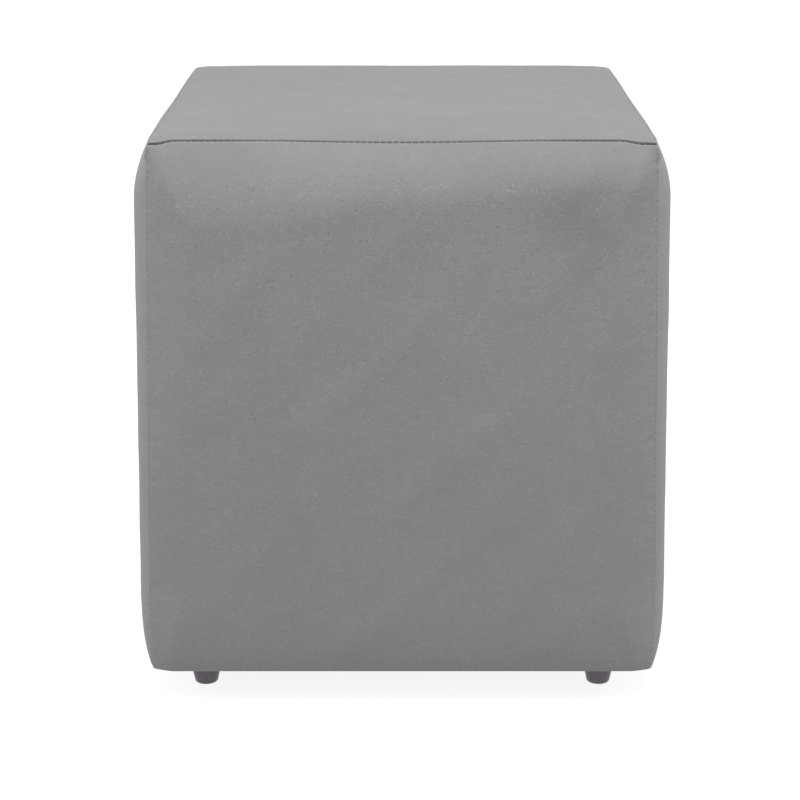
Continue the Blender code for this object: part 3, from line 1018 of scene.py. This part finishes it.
def make_lining():
    """Black non-woven cloth with its grid of small bonded points."""
    nodes = Nodes("black_nonwoven")
    bonds = nodes.add(
        "TexVoronoi",
        {"feature": "F1"},
        {"Vector": nodes.place, "Scale": LINING_BONDS, "Randomness": LINING_UNEVENNESS},
    ).outputs["Distance"]
    fibres, shade = nodes.layer(LINING_FIBRES)
    relief = nodes.sum(bonds, nodes.times(fibres, LINING_FIBRE_BUMP))
    return nodes.finish(
        LINING_COLOUR,
        shade,
        {"Normal": nodes.bump(relief, *LINING_BUMP), "Roughness": LINING_ROUGHNESS},
    )


def make_plastic():
    """Glossy dark plastic, with the faint unevenness and scuffs of a moulded foot."""
    nodes = Nodes("dark_plastic")
    scuffs, shade = nodes.layer(PLASTIC_SCUFFS)
    ripple = nodes.noise(*PLASTIC_RIPPLE)
    return nodes.finish(
        PLASTIC_COLOUR,
        shade,
        {
            "Normal": nodes.bump(ripple, *PLASTIC_BUMP),
            "Roughness": nodes.spread(scuffs, *PLASTIC_ROUGHNESS),
        },
    )


def make_stage():
    """A pale floor, white surroundings and soft lights from above and from both sides."""
    bpy.ops.mesh.primitive_plane_add(size=FLOOR_SIZE)
    floor = bpy.context.object
    floor.name = "floor"
    paint = Nodes("floor_paint")
    glow = {"Emission Color": (1, 1, 1, 1), "Emission Strength": FLOOR_GLOW}
    shade = paint.layer(FLOOR_CLOUDS)[1]
    floor.data.materials.append(
        paint.finish((1, 1, 1), shade, {"Roughness": FLOOR_ROUGHNESS, **glow})
    )
    world = bpy.data.worlds.new("white_surroundings")
    world.use_nodes = True
    background = world.node_tree.nodes["Background"].inputs
    background["Color"].default_value = (1, 1, 1, 1)
    background["Strength"].default_value = WORLD_STRENGTH
    bpy.context.scene.world = world
    for name, place, size, power in LIGHTS:
        lamp = bpy.data.lights.new(name, "AREA")
        lamp.shape = "DISK"
        lamp.size = size
        lamp.energy = power
        obj = bpy.data.objects.new(name, lamp)
        obj.location = place
        aim = Vector((0, 0, TOP_SEAM_HEIGHT / 2)) - Vector(place)
        obj.rotation_euler = aim.to_track_quat("-Z", "Y").to_euler()
        bpy.context.scene.collection.objects.link(obj)


def make_camera():
    lens = bpy.data.cameras.new("camera")
    lens.lens = CAMERA_LENS
    lens.shift_x, lens.shift_y = CAMERA_SHIFT
    camera = bpy.data.objects.new("camera", lens)
    camera.location = (0, -CAMERA_DISTANCE, CAMERA_HEIGHT)
    camera.rotation_euler = (math.pi / 2 - math.radians(CAMERA_PITCH), 0, 0)
    bpy.context.scene.collection.objects.link(camera)
    bpy.context.scene.camera = camera


settling = {}  # of each panel, by name


def main():
    for side in SIDES:
        settling[side.name] = Settling(
            lambda u, v: side_form(u, v, side),
            0,
            FACE_LENGTH,
            FACE_LENGTH,
            DOWN_STEP,
            -1,
            side.seed,
        )
    settling["top"] = Settling(top_form, -1, 1, 2 * SEAM_REACH_TOP, SHARE_STEP, 1, TOP_SEED)
    top_thread = make_thread_material("top_thread", TOP_THREAD_COLOUR)
    side_thread = make_thread_material("side_thread", SIDE_THREAD_COLOUR)
    for side in SIDES:
        # Each side's suede has its painted shade; the front, left and right also have patches of
        # painted shade
        painted_patches = PAINTED_SHADE_PATCHES.get(side.name, ())
        suede = make_suede(f"suede_{side.name}", SUEDE_PAINTED_SHADES[side.name], side.seed * 2.0, painted_patches)
        make_side(side, suede)
        make_top_stitches(side, top_thread)
        make_side_stitches(side, side_thread)
    # The top's suede carries the darkest painted shade of all the panels
    make_top(make_suede("suede_top", SUEDE_PAINTED_SHADES["top"], TOP_SEED * 2.0))
    make_underside(make_lining())
    plastic = make_plastic()
    for node in ("foot_front_left", "foot_front_right", "foot_back_left", "foot_back_right"):
        make_foot(node, plastic)
    make_stage()
    make_camera()
    bpy.context.scene.view_settings.view_transform = "Standard"


main()
